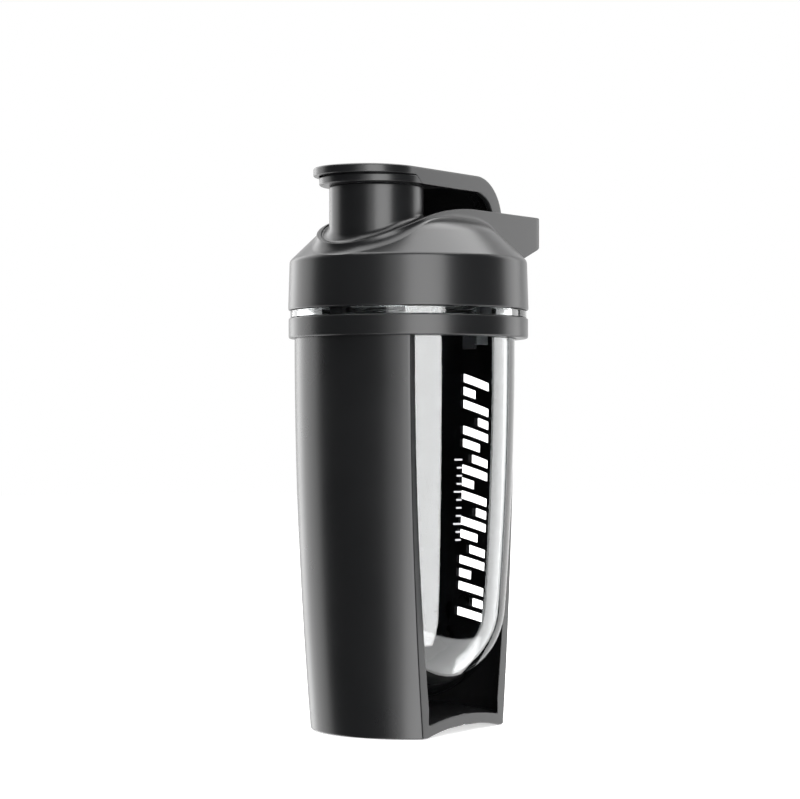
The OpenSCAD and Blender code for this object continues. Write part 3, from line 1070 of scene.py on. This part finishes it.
barrelHalf = cap["w"] - cap["barrelGap"]
holeR = cap["pinR"] + cap["pinGap"]
barrel = aroundHinge(rounded([
    (cap["barrelR"], -barrelHalf, 0.5), (cap["barrelR"], barrelHalf, 0.5),
    (holeR, barrelHalf, 0.1), (holeR, -barrelHalf, 0.1)]))
makePiece("capArm", [armSurface(), barrel], "cap_body", plastic, ["flip_cap"])
makePiece("capTier", [lowTierSurface()], "cap_body", plastic)

pinHalf = saddle["w"] - saddle["t"] + cap["pinTuck"]
pin = aroundHinge(rounded([
    (0, -pinHalf, 0), (cap["pinR"], -pinHalf, 0.3), (cap["pinR"], pinHalf, 0.3), (0, pinHalf, 0)],
    False), closed=False)
makePiece("hingePin", [pin], "lid_body", steel, ["hinge_pin"])

plug = {
    "plateR": 17.9,
    "plateT": 2.35,
    "r": 16.2,
    "drop": 3.2,             # how far it reaches down into the spout
    "lead": 0.6,             # the straight part above its taper
    "tipR": 15.2,
    "hollowR": 12.0,         # of its hollow underside, at the mouth and at the top
    "hollowTopR": 11.0,
    "hollowUp": 1.0,
}


# The plug's section about the spout's axis, from the hollow's middle out and back over the plate.
def plugSection():
    d = plug
    z = cap["z"]
    return rounded([
        (0, z + d["hollowUp"], 0), (d["hollowTopR"], z + d["hollowUp"], 0.5),
        (d["hollowR"], z - d["drop"], 0.5), (d["tipR"], z - d["drop"], 0.8),
        (d["r"], z - d["lead"], 0.3), (d["r"], z, 0.2), (d["plateR"], z, 0.2),
        (d["plateR"], z + d["plateT"], 0.2), (0, z + d["plateT"], 0)], False)


plugSurface = revolve(plugSection(), 120, lid["spoutX"], False)
makePiece("spoutPlug", [plugSurface], "cap_body", silicone, ["spout_plug"])
print("flip cap made")

# the mixing grid keeps its own mesh and gets a better material
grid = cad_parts["mixing_grid"]
for place in grid.material_slots:
    place.material = gridPlastic
if not grid.material_slots:
    grid.data.materials.append(gridPlastic)

floorSettings = {
    "reach": 3.0,            # metres
    "sides": 96,
    "drop": 0.0003,          # just under the base
    "tone": 0.6,             # glow near the bottle, a painted shade; it brightens to the backdrop's white
    "near": 0.10,
    "far": 0.45,
}


# A pale disc that glows in place of lamp light, with a painted shade near the bottle that brightens
# outwards into the backdrop, seen only by the camera.
def makeFloor():
    d = floorSettings
    angle = np.linspace(0, 2 * np.pi, d["sides"], endpoint=False)
    points = np.column_stack([
        d["reach"] * np.cos(angle), d["reach"] * np.sin(angle), 0 * angle - d["drop"]])
    mesh = bpy.data.meshes.new("floor")
    mesh.from_pydata(points.tolist(), [], [list(range(d["sides"]))])
    floor = bpy.data.objects.new("floor", mesh)
    bpy.context.scene.collection.objects.link(floor)
    tone = (d["tone"],) * 3
    paperPaintedShade, shader, place = startMaterial("palePaperPaintedShade", {
        "Base Color": (*tone, 1), "Roughness": 0.9, "Specular IOR Level": 0.0,
        "Emission Strength": 1.0})
    # painted light: the floor's glow is dimmer near the bottle, a painted shade round its base, and
    # brighter outwards
    outward = place.add("ShaderNodeVectorMath", {"operation": "LENGTH"}, {0: place}, out=1)
    glow = blendColor(between(outward, d["near"], d["far"]), tone, (1, 1, 1))
    place.feed(glow, shader.inputs["Emission Color"])
    mesh.materials.append(paperPaintedShade)
    floor.visible_glossy = False
    floor.visible_diffuse = False
    floor.visible_shadow = False
    floor.visible_transmission = False
    return floor


makeFloor()
print("floor made")
